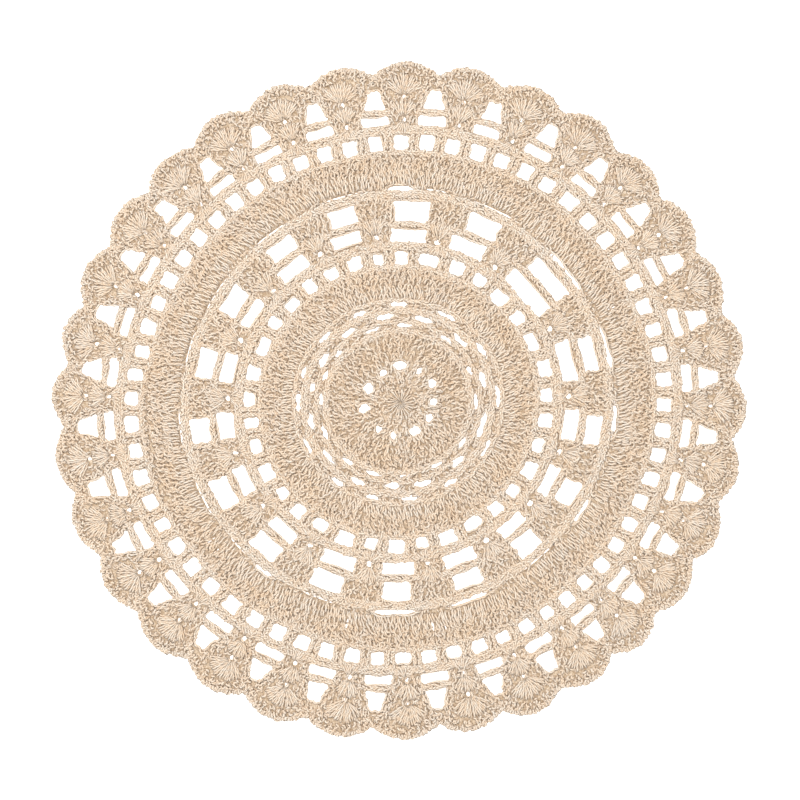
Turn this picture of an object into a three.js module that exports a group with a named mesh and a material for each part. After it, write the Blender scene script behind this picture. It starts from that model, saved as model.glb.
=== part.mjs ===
// Round crochet placemat in natural cotton yarn, worked in one piece in rounds from the centre to a scalloped
// edge of fans. It is one thin openwork sheet that lies flat with its underside on z = 0 and its middle over
// the origin. Every gap that shows from a step away is cut through. Millimetres, +Z up. Directions round the
// mat are degrees from +X towards +Y, as seen from above, and radii are taken from the centre stitch.

import * as THREE from "three";
import { mergeVertices } from "three/addons/utils/BufferGeometryUtils.js";

// Two crossing thicknesses of the yarn.
const SHEET_THICK = 2.8;

// Handwork pulls the rounds out of true. All of them past LEAN.full lie this far off the centre stitch, and
// they are ovals, longer by this share in one direction and shorter across it.
const LEAN = { reach: 1.2, towards: 160, from: 8, full: 23 };
const OVAL = { share: 0.013, towards: 15 };

// The inner and outer radius of each round of gaps.
const ROUNDS = {
  innerSlits: { inner: 41.1, outer: 43.5 },
  middleSlits: { inner: 45.9, outer: 49.3 },
  outerSlits: { inner: 52.5, outer: 55.5 },
  smallLadder: { inner: 76.2, outer: 84.2 },
  longSlits: { inner: 115.3, outer: 118.1 },
  largeLowerWindows: { inner: 152.9, outer: 158.4 },
  largeUpperWindows: { inner: 162.0, outer: 172.9 },
};

// The ring of gaps round the centre rosette: where each lies, how far out, and its size along and across
// the round.
const CENTRE_GAPS = [
  { at: 2, radius: 18.5, along: 4.8, across: 4.4 },
  { at: 32, radius: 20.4, along: 5.6, across: 5.4 },
  { at: 58, radius: 20.2, along: 3.4, across: 3.8 },
  { at: 91, radius: 20.6, along: 8.4, across: 4.8 },
  { at: 120, radius: 19.0, along: 4.4, across: 3.2 },
  { at: 155, radius: 19.4, along: 5.6, across: 5.6 },
  { at: 189, radius: 19.6, along: 5.0, across: 6.0 },
  { at: 231, radius: 18.7, along: 3.6, across: 3.6 },
  { at: 259, radius: 18.1, along: 3.8, across: 3.8 },
  { at: 298, radius: 17.2, along: 6.4, across: 4.8 },
  { at: 333, radius: 17.4, along: 4.0, across: 4.0 },
];

// The slits under the 14 chain arches of three rounds: where each slit begins and ends in each round, and how
// far it lies outside its round's own radius.
const ARCHES = [
  { inner: [-7, 7, -0.5], middle: [7, 22.5, -0.4], outer: [-3.5, 11, 0] },
  { inner: [20.5, 28.5, 0], middle: [37, 54, 0.1], outer: [26.5, 38.5, -0.7] },
  { inner: [48.5, 61, 1], middle: [67, 82, 0.5], outer: [56, 68.5, 0.3] },
  { inner: [81, 93, 0.7], middle: [94, 107, 0.6], outer: [85.5, 97, 0.4] },
  { inner: [105, 117, 0.1], middle: [121, 133, -0.3], outer: [109.5, 119.5, -0.7] },
  { inner: [137, 145, 0], middle: [145, 156, -0.9], outer: [134, 146, -0.2] },
  { inner: [156, 164, 0], middle: [165.5, 174.5, -0.6], outer: [159, 167, 0] },
  { inner: [173, 184, -0.4], middle: [186, 197.5, 1.2], outer: [172.5, 187, 0.2] },
  { inner: [195, 207, 1], middle: [210, 224, 0.6], outer: [198, 212, 1] },
  { inner: [223, 233.5, 0.1], middle: [235, 247, 1.5], outer: [226.5, 236, 0.9] },
  { inner: [242, 256, -0.8], middle: [259, 270, -1.3], outer: [250, 257.5, 0.8] },
  { inner: [266, 280, -1.5], middle: [279, 293, -0.4], outer: [269.5, 281.5, -0.4] },
  { inner: [293, 307, -1.7], middle: [308, 321, -1.3], outer: [296, 307.5, -1.1] },
  { inner: [321, 336, -1], middle: [332.5, 355, -0.1], outer: [323.5, 339.5, 0.2] },
];

// The inner round of fans: a row for each space between two fans. It has a window under its chain bar and one
// over it, which begin and end at these directions, and ladder posts that stand at others beneath, each followed
// by a ladder window that lies this far out of its round. The radii are of the lower window's inner edge, the
// bar's middle and the upper window's outer edge.
const SMALL_SPACES = [
  { lower: [7, 21], upper: [9.3, 19.8], posts: [8, 19], out: [1.3, -0.6], base: 90.0, bar: 100.3, top: 110.2 },
  { lower: [32, 50], upper: [32.7, 46.8], posts: [31, 41, 52.5], out: [-1.4, -1.3, 0.7], base: 88.2, bar: 99.5, top: 110.3 },
  { lower: [60.5, 73], upper: [60, 69.8], posts: [62, 72.5], out: [0.4, 0.7], base: 88.9, bar: 99.9, top: 112.8 },
  { lower: [81, 93.5], upper: [81.3, 91.7], posts: [84.5, 94.5], out: [-0.8, 0.2], base: 88.8, bar: 98.5, top: 112.2 },
  { lower: [103, 113.5], upper: [102.8, 111.3], posts: [103, 113], out: [0.5, 0.5], base: 91.3, bar: 100.2, top: 112.4 },
  { lower: [123, 134], upper: [123, 131.8], posts: [123, 132.5], out: [0.6, -0.2], base: 90.0, bar: 100.0, top: 111.1 },
  { lower: [143.5, 154], upper: [144, 153], posts: [143, 152], out: [0.6, 0.2], base: 90.7, bar: 98.9, top: 110.9 },
  { lower: [163.5, 173.5], upper: [164, 173], posts: [163.5, 173.5], out: [0.3, 1.7], base: 90.5, bar: 100.0, top: 111.9 },
  { lower: [183, 192], upper: [184.3, 191.7], posts: [183.5, 192], out: [-0.1, 1.3], base: 90.1, bar: 101.2, top: 113.7 },
  { lower: [201.5, 211.5], upper: [202.2, 211.6], posts: [202, 213], out: [0.9, 0.3], base: 90.3, bar: 99.7, top: 112.5 },
  { lower: [222, 232.5], upper: [222.2, 231.6], posts: [222, 231.5], out: [0.8, -0.2], base: 90.8, bar: 99.5, top: 111.8 },
  { lower: [242.5, 254.5], upper: [242.7, 252.5], posts: [242, 253.5], out: [0.4, -0.2], base: 89.2, bar: 99.0, top: 111.1 },
  { lower: [263.5, 275], upper: [264.6, 273.3], posts: [263, 274], out: [-0.3, -0.5], base: 88.6, bar: 97.8, top: 110.4 },
  { lower: [285, 297], upper: [286.2, 295.5], posts: [283.5, 295], out: [-0.5, -0.9], base: 88.8, bar: 99.0, top: 110.0 },
  { lower: [307, 317.5], upper: [307.6, 316], posts: [307, 317], out: [-0.7, 0.1], base: 88.8, bar: 98.0, top: 111.5 },
  { lower: [327, 338], upper: [328.1, 336], posts: [327, 338], out: [1.0, 0.3], base: 89.8, bar: 98.2, top: 110.4 },
  { lower: [347.5, 358], upper: [347.5, 356.4], posts: [348, 358], out: [0.3, 0.9], base: 90.5, bar: 100.7, top: 111.8 },
];
const SMALL_BAR_WIDE = 3.8;
const SMALL_POST_WIDE = 6.4;

// A ladder window under the foot of a fan is this much lower than the others.
const SMALL_FOOT = 1.6;
const LARGE_FOOT = 0.8;

// Where the chain over the inner fans hangs clear of the band outside it, and how far each such slit lies
// outside its round's own radius.
const LONG_SLITS = [
  { from: 7, to: 22.5, shift: -0.5 },
  { from: 27.5, to: 49, shift: -1.1 },
  { from: 85.5, to: 94.5, shift: 1.6 },
  { from: 226.5, to: 234.5, shift: 1 },
  { from: 261.5, to: 275.5, shift: -0.5 },
  { from: 281.5, to: 297.5, shift: -0.1 },
  { from: 323, to: 335, shift: -0.2 },
  { from: 350, to: 361, shift: 0.6 },
];

// The outer round of fans, each with one scallop of the edge: stretches of evenly spaced fans. The scallops of
// a stretch reach one radius at their tips, and the windows beside its fans lie this far outside their rounds.
// The ladder beneath lies between two radii and is turned by some degrees.
const LARGE_FANS = [
  { first: 10.5, fans: 1, pitch: 11.26, tip: 189.0, shift: 0.9, ladder: [139.9, 148.7, 0.1] },
  { first: 21.8, fans: 3, pitch: 11.26, tip: 186.8, shift: -0.3, ladder: [138.5, 147.3, -0.2] },
  { first: 55.5, fans: 4, pitch: 11.26, tip: 188.8, shift: 1.1, ladder: [140.0, 148.8, 0.5] },
  { first: 101, fans: 3, pitch: 11.35, tip: 188.0, shift: -0.5, ladder: [139.0, 147.8, 0.2] },
  { first: 135, fans: 4, pitch: 11.33, tip: 186.0, shift: -1.4, ladder: [137.8, 146.6, 0] },
  { first: 178.7, fans: 3, pitch: 11.45, tip: 187.9, shift: 1.4, ladder: [141.0, 149.0, 0.1] },
  { first: 213, fans: 2, pitch: 11.5, tip: 187.8, shift: -0.3, ladder: [139.0, 147.8, -0.5] },
  { first: 236.5, fans: 3, pitch: 11.5, tip: 187.6, shift: -1.3, ladder: [138.2, 147.0, -0.3] },
  { first: 271.4, fans: 2, pitch: 11.7, tip: 186.9, shift: -1.4, ladder: [138.7, 145.7, -0.8] },
  { first: 294.3, fans: 2, pitch: 11.4, tip: 188.5, shift: -1.0, ladder: [139.3, 146.6, -0.6] },
  { first: 315.5, fans: 3, pitch: 11, tip: 189.3, shift: 0.1, ladder: [138.8, 147.6, 0.1] },
  { first: 348.5, fans: 2, pitch: 11, tip: 188.6, shift: 1.2, ladder: [140.0, 148.8, 0.1] },
];
const LARGE_POST_WIDE = 6.2;
const LARGE_LOWER_WIDE = 15.3;
const LARGE_UPPER_WIDE = { inner: 12.6, outer: 6.6 };

// How far the corners of the gaps are cut back.
const LADDER_CORNER = 1.3;
const WINDOW_CORNER = 1.2;

// The notches between the scallops lie this far inside their tips. They and the windows next to them are pulled
// round by these degrees, towards +X from +Y, from halfway between the fans.
const NOTCH_DEEP = 6.9;
const NOTCH_LEAN = 0.4;
const UPPER_LEAN = 0.2;

// A scallop is a low arch: across it u runs from -1 to 1, and its height over the notches is (1 - u^2) to this
// power.
const SCALLOP_POWER = 1.1;
const SCALLOP_STEPS = [-1, -0.86, -0.56, -0.2, 0.2, 0.56, 0.86];

// The point of the finished mat at a radius and a direction.
function place(radius, degrees) {
  const angle = THREE.MathUtils.degToRad(degrees);
  const fromOval = angle - THREE.MathUtils.degToRad(OVAL.towards);
  const fromLean = angle - THREE.MathUtils.degToRad(LEAN.towards);
  const lean = THREE.MathUtils.smoothstep(radius, LEAN.from, LEAN.full) * LEAN.reach;
  const reach = radius * (1 + OVAL.share * Math.cos(2 * fromOval)) + lean * Math.cos(fromLean);
  return new THREE.Vector2(reach * Math.cos(angle), reach * Math.sin(angle));
}

// The angle that a length along the round spans, in degrees.
function span(length, radius) {
  return THREE.MathUtils.radToDeg(length / radius);
}

// A gap whose inner edge runs between two directions and its outer edge between two others.
function windowGap(round, innerEdge, outerEdge, corner) {
  const corners = [
    place(round.inner, innerEdge[0]),
    place(round.inner, innerEdge[1]),
    place(round.outer, outerEdge[1]),
    place(round.outer, outerEdge[0]),
  ];
  return corners.flatMap((here, i) => {
    const before = corners[(i + 3) % 4].clone().sub(here).setLength(corner);
    const after = corners[(i + 1) % 4].clone().sub(here).setLength(corner);
    return [here.clone().add(before), here.clone().add(after)];
  });
}

// A gap of the same length at both edges, centred on one direction.
function middleGap(round, degrees, wideInner, wideOuter, corner) {
  const halfInner = span(wideInner, round.inner) / 2;
  const halfOuter = span(wideOuter, round.outer) / 2;
  return windowGap(
    round,
    [degrees - halfInner, degrees + halfInner],
    [degrees - halfOuter, degrees + halfOuter],
    corner,
  );
}

// A round moved outward.
function moved(round, shift) {
  return { inner: round.inner + shift, outer: round.outer + shift };
}

// A slit with pointed ends under a chain arch.
function slitGap(round, from, to) {
  const shoulder = 0.28;
  const left = THREE.MathUtils.lerp(from, to, shoulder);
  const right = THREE.MathUtils.lerp(to, from, shoulder);
  const tips = (round.inner + round.outer) / 2;
  return [
    place(tips, from),
    place(round.inner, left),
    place(round.inner, right),
    place(tips, to),
    place(round.outer, right),
    place(round.outer, left),
  ];
}

// An eight-sided oval gap by the centre rosette.
function ovalGap({ at, radius, along, across }) {
  const middle = new THREE.Vector2(radius, 0).rotateAround(new THREE.Vector2(), THREE.MathUtils.degToRad(at));
  const outward = middle.clone().normalize();
  const sideways = new THREE.Vector2(-outward.y, outward.x);
  const sides = 8;
  return Array.from({ length: sides }, (_, i) => {
    const turn = ((i + 0.5) * 2 * Math.PI) / sides;
    return middle
      .clone()
      .addScaledVector(sideways, (Math.cos(turn) * along) / 2)
      .addScaledVector(outward, (Math.sin(turn) * across) / 2);
  });
}

// The gaps of a ladder, each between one post and the next.
function ladderGaps(posts, postWide) {
  return posts.map(({ at, window }, i) => {
    const next = i + 1 < posts.length ? posts[i + 1].at : posts[0].at + 360;
    const half = (radius) => span(postWide, radius) / 2;
    return windowGap(
      window,
      [at + half(window.inner), next - half(window.inner)],
      [at + half(window.outer), next - half(window.outer)],
      LADDER_CORNER,
    );
  });
}

// The posts of the inner ladder, each with the window after it. The last window of a space lies under a fan.
function smallPosts() {
  return SMALL_SPACES.flatMap(({ posts, out }) =>
    posts.map((at, i) => {
      const { inner, outer } = moved(ROUNDS.smallLadder, out[i]);
      const foot = i === posts.length - 1 ? SMALL_FOOT : 0;
      return { at, window: { inner, outer: outer - foot } };
    }),
  );
}

const largeFans = LARGE_FANS.flatMap(({ first, fans, pitch, tip, shift, ladder }) =>
  Array.from({ length: fans }, (_, i) => ({ at: first + i * pitch, tip, shift, ladder })),
);

// The spaces between each fan of the outer round and the next: their direction, the radius and direction of the
// notch, and the ladder window beneath.
const largeSpaces = largeFans.map((fan, i) => {
  const next = largeFans[(i + 1) % largeFans.length];
  const lap = next.at < fan.at ? 360 : 0;
  const at = (fan.at + next.at + lap) / 2;
  return {
    at,
    notchAt: at - NOTCH_LEAN,
    notch: (fan.tip + next.tip) / 2 - NOTCH_DEEP,
    shift: (fan.shift + next.shift) / 2,
    window: { inner: (fan.ladder[0] + next.ladder[0]) / 2, outer: (fan.ladder[1] + next.ladder[1]) / 2 },
  };
});

// Each fan with the space before it and the space after it.
const largeSections = largeFans.map((fan, i) => {
  const last = largeSpaces.at(-1);
  const before = i > 0 ? largeSpaces[i - 1] : { ...last, at: last.at - 360, notchAt: last.notchAt - 360 };
  return { fan, before, after: largeSpaces[i] };
});

// The scalloped outline, from notch to notch.
function edgeOutline() {
  return largeSections.flatMap(({ fan, before, after }) =>
    SCALLOP_STEPS.map((u) => {
      const height = (1 - u * u) ** SCALLOP_POWER;
      const degrees = THREE.MathUtils.mapLinear(u, -1, 1, before.notchAt, after.notchAt);
      const notch = THREE.MathUtils.mapLinear(u, -1, 1, before.notch, after.notch);
      return place(THREE.MathUtils.lerp(notch, fan.tip, height), degrees);
    }),
  );
}

// The posts of the outer ladder stand on both sides of each fan's foot, halfway to the middle of the spaces, each
// with the window after it.
function largePosts() {
  return largeSections.flatMap(({ fan, before, after }) => {
    const [inner, outer, turn] = fan.ladder;
    return [
      { at: (fan.at + before.at) / 2 + turn, window: { inner, outer: outer - LARGE_FOOT } },
      { at: (fan.at + after.at) / 2 + turn, window: after.window },
    ];
  });
}

function allGaps() {
  const gaps = CENTRE_GAPS.map(ovalGap);
  for (const arch of ARCHES) {
    for (const [round, [from, to, shift]] of [
      [ROUNDS.innerSlits, arch.inner],
      [ROUNDS.middleSlits, arch.middle],
      [ROUNDS.outerSlits, arch.outer],
    ]) {
      gaps.push(slitGap(moved(round, shift), from, to));
    }
  }
  gaps.push(...ladderGaps(smallPosts(), SMALL_POST_WIDE));
  for (const { lower, upper, base, bar, top } of SMALL_SPACES) {
    const under = { inner: base, outer: bar - SMALL_BAR_WIDE / 2 };
    const over = { inner: bar + SMALL_BAR_WIDE / 2, outer: top };
    gaps.push(windowGap(under, lower, lower, WINDOW_CORNER));
    gaps.push(windowGap(over, upper, upper, WINDOW_CORNER));
  }
  for (const { from, to, shift } of LONG_SLITS) {
    gaps.push(slitGap(moved(ROUNDS.longSlits, shift), from, to));
  }
  gaps.push(...ladderGaps(largePosts(), LARGE_POST_WIDE));
  for (const { at, shift } of largeSpaces) {
    const under = moved(ROUNDS.largeLowerWindows, shift);
    const over = moved(ROUNDS.largeUpperWindows, shift);
    gaps.push(middleGap(under, at, LARGE_LOWER_WIDE, LARGE_LOWER_WIDE, WINDOW_CORNER));
    gaps.push(
      middleGap(over, at - UPPER_LEAN, LARGE_UPPER_WIDE.inner, LARGE_UPPER_WIDE.outer, WINDOW_CORNER),
    );
  }
  return gaps;
}

// The sheet: the scalloped outline with every gap cut through, its underside on z = 0 and its box's middle
// over the origin.
function matGeometry() {
  const shape = new THREE.Shape(edgeOutline());
  shape.holes = allGaps().map((points) => new THREE.Path(points));
  const extruded = new THREE.ExtrudeGeometry(shape, { depth: SHEET_THICK, bevelEnabled: false });
  extruded.deleteAttribute("normal");
  extruded.deleteAttribute("uv");
  const sheet = mergeVertices(extruded, 1e-3);
  sheet.computeBoundingBox();
  const middle = sheet.boundingBox.getCenter(new THREE.Vector3());
  sheet.translate(-middle.x, -middle.y, 0);
  sheet.computeVertexNormals();
  return sheet;
}

const naturalCotton = new THREE.MeshStandardMaterial({ color: 0xdecbb3, roughness: 0.95, metalness: 0 });

const mat = new THREE.Mesh(matGeometry(), naturalCotton);
mat.name = "mat";

const placemat = new THREE.Group();
placemat.add(mat);

export default placemat;
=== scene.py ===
# Looks of the round crochet placemat: every strand of its cotton yarn is a swept tube, laid round by round
# from the centre stitch to the scalloped edge, over a thin openwork ground that closes the pinholes between
# them; its dark colour is painted shade.

import math

import bpy
import numpy as np
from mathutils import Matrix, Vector
from mathutils.geometry import delaunay_2d_cdt


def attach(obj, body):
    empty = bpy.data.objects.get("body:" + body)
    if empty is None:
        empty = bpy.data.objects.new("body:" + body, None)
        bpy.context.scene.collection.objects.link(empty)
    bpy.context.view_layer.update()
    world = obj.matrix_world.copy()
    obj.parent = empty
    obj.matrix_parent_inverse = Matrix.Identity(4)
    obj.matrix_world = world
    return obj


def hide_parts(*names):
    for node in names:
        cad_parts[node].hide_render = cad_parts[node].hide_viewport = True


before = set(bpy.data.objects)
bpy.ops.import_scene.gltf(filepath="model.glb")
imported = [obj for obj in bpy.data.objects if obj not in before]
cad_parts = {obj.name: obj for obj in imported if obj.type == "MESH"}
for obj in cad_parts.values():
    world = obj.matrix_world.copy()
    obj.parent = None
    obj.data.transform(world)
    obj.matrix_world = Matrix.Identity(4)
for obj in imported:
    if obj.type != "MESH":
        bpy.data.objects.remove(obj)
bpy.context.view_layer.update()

# The tables are in millimetres and degrees, as in the CAD source, and meshes are made in metres.
MM = 0.001
# The radius of a strand. It has three sides, one of them on top, and is this much wider than it is high.
YARN = 0.6
TUBE_SIDES = 3
TUBE_WIDE = 1.25

# Outside the rosette the rounds lie a little to one side of the centre stitch, and they are slightly oval.
LEAN = {"reach": 1.2, "towards": 160, "from": 8, "full": 23}
OVAL = {"share": 0.013, "towards": 15}

# Inner and outer radius of each round of gaps.
ROUNDS = {
    "inner_slits": (41.1, 43.5),
    "middle_slits": (45.9, 49.3),
    "outer_slits": (52.5, 55.5),
    "small_ladder": (76.2, 84.2),
    "long_slits": (115.3, 118.1),
    "large_lower": (152.9, 158.4),
    "large_upper": (162.0, 172.9),
}

# Gaps round the rosette: direction, radius, size along the round, size across it.
CENTRE_GAPS = [
    (2, 18.5, 4.8, 4.4), (32, 20.4, 5.6, 5.4), (58, 20.2, 3.4, 3.8), (91, 20.6, 8.4, 4.8),
    (120, 19.0, 4.4, 3.2), (155, 19.4, 5.6, 5.6), (189, 19.6, 5.0, 6.0), (231, 18.7, 3.6, 3.6),
    (259, 18.1, 3.8, 3.8), (298, 17.2, 6.4, 4.8), (333, 17.4, 4.0, 4.0),
]

# Slits under the chain arches of the inner, the middle and the outer round: from, to, shift outward.
ARCHES = [
    ((-7, 7, -0.5), (7, 22.5, -0.4), (-3.5, 11, 0)),
    ((20.5, 28.5, 0), (37, 54, 0.1), (26.5, 38.5, -0.7)),
    ((48.5, 61, 1), (67, 82, 0.5), (56, 68.5, 0.3)),
    ((81, 93, 0.7), (94, 107, 0.6), (85.5, 97, 0.4)),
    ((105, 117, 0.1), (121, 133, -0.3), (109.5, 119.5, -0.7)),
    ((137, 145, 0), (145, 156, -0.9), (134, 146, -0.2)),
    ((156, 164, 0), (165.5, 174.5, -0.6), (159, 167, 0)),
    ((173, 184, -0.4), (186, 197.5, 1.2), (172.5, 187, 0.2)),
    ((195, 207, 1), (210, 224, 0.6), (198, 212, 1)),
    ((223, 233.5, 0.1), (235, 247, 1.5), (226.5, 236, 0.9)),
    ((242, 256, -0.8), (259, 270, -1.3), (250, 257.5, 0.8)),
    ((266, 280, -1.5), (279, 293, -0.4), (269.5, 281.5, -0.4)),
    ((293, 307, -1.7), (308, 321, -1.3), (296, 307.5, -1.1)),
    ((321, 336, -1), (332.5, 355, -0.1), (323.5, 339.5, 0.2)),
]

# Spaces between the inner fans: from and to of the lower window and the upper one, the ladder posts beneath,
# how far each ladder window after a post lies outside its round, and the radii of the lower window's inner
# edge, the chain bar and the upper window's outer edge.
SMALL_SPACES = [
    ((7, 21), (9.3, 19.8), (8, 19), (1.3, -0.6), 90.0, 100.3, 110.2),
    ((32, 50), (32.7, 46.8), (31, 41, 52.5), (-1.4, -1.3, 0.7), 88.2, 99.5, 110.3),
    ((60.5, 73), (60, 69.8), (62, 72.5), (0.4, 0.7), 88.9, 99.9, 112.8),
    ((81, 93.5), (81.3, 91.7), (84.5, 94.5), (-0.8, 0.2), 88.8, 98.5, 112.2),
    ((103, 113.5), (102.8, 111.3), (103, 113), (0.5, 0.5), 91.3, 100.2, 112.4),
    ((123, 134), (123, 131.8), (123, 132.5), (0.6, -0.2), 90.0, 100.0, 111.1),
    ((143.5, 154), (144, 153), (143, 152), (0.6, 0.2), 90.7, 98.9, 110.9),
    ((163.5, 173.5), (164, 173), (163.5, 173.5), (0.3, 1.7), 90.5, 100.0, 111.9),
    ((183, 192), (184.3, 191.7), (183.5, 192), (-0.1, 1.3), 90.1, 101.2, 113.7),
    ((201.5, 211.5), (202.2, 211.6), (202, 213), (0.9, 0.3), 90.3, 99.7, 112.5),
    ((222, 232.5), (222.2, 231.6), (222, 231.5), (0.8, -0.2), 90.8, 99.5, 111.8),
    ((242.5, 254.5), (242.7, 252.5), (242, 253.5), (0.4, -0.2), 89.2, 99.0, 111.1),
    ((263.5, 275), (264.6, 273.3), (263, 274), (-0.3, -0.5), 88.6, 97.8, 110.4),
    ((285, 297), (286.2, 295.5), (283.5, 295), (-0.5, -0.9), 88.8, 99.0, 110.0),
    ((307, 317.5), (307.6, 316), (307, 317), (-0.7, 0.1), 88.8, 98.0, 111.5),
    ((327, 338), (328.1, 336), (327, 338), (1.0, 0.3), 89.8, 98.2, 110.4),
    ((347.5, 358), (347.5, 356.4), (348, 358), (0.3, 0.9), 90.5, 100.7, 111.8),
]
SMALL_BAR_WIDE = 3.8
SMALL_POST_WIDE = 6.4

# How much lower a ladder window is that lies under the foot of a fan.
SMALL_FOOT = 1.6
LARGE_FOOT = 0.8

# Slits under the wide band: from, to, shift outward.
LONG_SLITS = [
    (7, 22.5, -0.5), (27.5, 49, -1.1), (85.5, 94.5, 1.6), (226.5, 234.5, 1),
    (261.5, 275.5, -0.5), (281.5, 297.5, -0.1), (323, 335, -0.2), (350, 361, 0.6),
]

# Stretches of evenly spaced outer fans: the first one's direction, how many, their pitch, the radius of their
# scallops' tips, the shift outward of the windows beside them, and the ladder beneath: its inner and outer
# radius, and its turn.
LARGE_FANS = [
    (10.5, 1, 11.26, 189.0, 0.9, (139.9, 148.7, 0.1)),
    (21.8, 3, 11.26, 186.8, -0.3, (138.5, 147.3, -0.2)),
    (55.5, 4, 11.26, 188.8, 1.1, (140.0, 148.8, 0.5)),
    (101, 3, 11.35, 188.0, -0.5, (139.0, 147.8, 0.2)),
    (135, 4, 11.33, 186.0, -1.4, (137.8, 146.6, 0)),
    (178.7, 3, 11.45, 187.9, 1.4, (141.0, 149.0, 0.1)),
    (213, 2, 11.5, 187.8, -0.3, (139.0, 147.8, -0.5)),
    (236.5, 3, 11.5, 187.6, -1.3, (138.2, 147.0, -0.3)),
    (271.4, 2, 11.7, 186.9, -1.4, (138.7, 145.7, -0.8)),
    (294.3, 2, 11.4, 188.5, -1.0, (139.3, 146.6, -0.6)),
    (315.5, 3, 11, 189.3, 0.1, (138.8, 147.6, 0.1)),
    (348.5, 2, 11, 188.6, 1.2, (140.0, 148.8, 0.1)),
]
LARGE_POST_WIDE = 6.2
LARGE_LOWER = (15.3, 15.3)
LARGE_UPPER = (12.6, 6.6)
LADDER_CORNER = 1.3
WINDOW_CORNER = 1.2
SLIT_SHOULDER = 0.28
OVAL_SIDES = 8
NOTCH_DEEP = 6.9
NOTCH_LEAN = 0.4
UPPER_LEAN = 0.2
SCALLOP_POWER = 1.1
SCALLOP_STEPS = (-1, -0.86, -0.56, -0.2, 0.2, 0.56, 0.86)

# Openings too small for the CAD sheet. The eyes at the foot of each shell of strands: how far out, width and
# height. The eye of an inner fan is measured from the windows beside it.
SMALL_EYE = (2.0, 3.2, 2.8)
LOWER_EYE = (155.7, 1.9, 2.5)
UPPER_EYE = (168.2, 1.7, 2.5)

# Nearly closed slits under the wide band: from, to, radius.
THIN_SLITS = [
    (55.5, 72, 118.3), (76.5, 84.5, 118.9), (98.5, 113, 118.3), (120, 134.5, 117.0),
    (143, 157, 116.4), (160, 172, 117.4), (180, 194, 119.0), (199, 213, 118.0),
    (217.5, 225.5, 117.2), (240, 255, 116.3), (303, 320, 116.0),
]
THIN_HALF_WIDE = 0.5

# Small partings between the posts of the wide band: direction, radius, width, height.
PARTINGS = [
    (24.2, 126.0, 0.7, 6.0), (27.9, 125.5, 0.7, 5.0), (73.6, 126.0, 0.8, 6.5),
    (216.0, 126.5, 0.8, 6.0), (218.8, 127.5, 0.7, 5.0), (256.4, 125.8, 1.2, 6.5),
    (278.3, 125.5, 1.3, 6.5), (281.4, 127.0, 0.9, 5.0), (340.0, 127.0, 0.6, 6.0),
]

# Divisions by a length use at least this much.
SMALLEST = 1e-9
rng = np.random.default_rng(41)


def jitter(size, count):
    return rng.normal(0, size, count)


def unit(headings):
    """The direction of each heading, which is in radians."""
    return np.stack([np.cos(headings), np.sin(headings)], axis=-1)


def unit_place(radius, degrees):
    """The point at a radius and a direction, measured from the centre stitch."""
    radius, degrees = np.broadcast_arrays(np.asarray(radius, float), np.asarray(degrees, float))
    angle = np.radians(degrees)
    share = np.clip((radius - LEAN["from"]) / (LEAN["full"] - LEAN["from"]), 0, 1)
    lean = LEAN["reach"] * share * share * (3 - 2 * share) * np.cos(angle - math.radians(LEAN["towards"]))
    reach = radius * (1 + OVAL["share"] * np.cos(2 * (angle - math.radians(OVAL["towards"])))) + lean
    return reach[..., None] * unit(angle)


def span(length, radius):
    return np.degrees(length / radius)


FANS, TIPS, SHIFTS, LADDER_INNER, LADDER_OUTER, LADDER_TURNS = np.array([
    (first + i * pitch, tip, shift, *ladder)
    for first, fans, pitch, tip, shift, ladder in LARGE_FANS for i in range(fans)
]).T
SPACES = (FANS + np.append(FANS[1:], FANS[0] + 360)) / 2
NOTCHES = SPACES - NOTCH_LEAN
NOTCH_RADII = (TIPS + np.roll(TIPS, -1)) / 2 - NOTCH_DEEP
SPACE_SHIFTS = (SHIFTS + np.roll(SHIFTS, -1)) / 2
SPACES_BEFORE = np.append(SPACES[-1] - 360, SPACES[:-1])
NOTCHES_BEFORE = SPACES_BEFORE - NOTCH_LEAN


def scallop_edge(steps):
    """Points of the scalloped edge, from notch to notch, at these steps of each scallop."""
    points = []
    for i in range(len(FANS)):
        for u in steps:
            height = (1 - u * u) ** SCALLOP_POWER
            share = (u + 1) / 2
            degrees = NOTCHES_BEFORE[i] + (NOTCHES[i] - NOTCHES_BEFORE[i]) * share
            notch = NOTCH_RADII[i - 1] + (NOTCH_RADII[i] - NOTCH_RADII[i - 1]) * share
            points.append(unit_place(notch + (TIPS[i] - notch) * height, degrees))
    return np.array(points)


OUTLINE = scallop_edge(SCALLOP_STEPS)
MIDDLE = (OUTLINE.min(axis=0) + OUTLINE.max(axis=0)) / 2


def place(radius, degrees):
    """The point of the finished mat at a radius and a direction."""
    return unit_place(radius, degrees) - MIDDLE


def moved(round_name, shift):
    inner, outer = ROUNDS[round_name]
    return inner + shift, outer + shift


# The slits under the wide band, each with its from, to, inner radius and outer radius.
LONG_SPANS = [(start, end, *moved("long_slits", shift)) for start, end, shift in LONG_SLITS]
THIN_SPANS = [(start, end, at - THIN_HALF_WIDE, at + THIN_HALF_WIDE) for start, end, at in THIN_SLITS]


def window_gap(radii, start, end, less, corner):
    """A gap between two directions with blunt corners, its inner and outer edge narrower by these lengths."""
    inner, outer = span(np.array(less), np.array(radii)) / 2
    corners = place(np.repeat(radii, 2), [start + inner, end - inner, end - outer, start + outer])
    points = []
    for i, here in enumerate(corners):
        for other in (corners[i - 1], corners[(i + 1) % 4]):
            away = other - here
            points.append(here + away * corner / np.hypot(*away))
    return np.array(points)


def slit_gap(start, end, inner, outer):
    left = start + (end - start) * SLIT_SHOULDER
    right = end + (start - end) * SLIT_SHOULDER
    tips = (inner + outer) / 2
    return place((tips, inner, inner, tips, outer, outer), (start, left, right, end, right, left))


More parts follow.
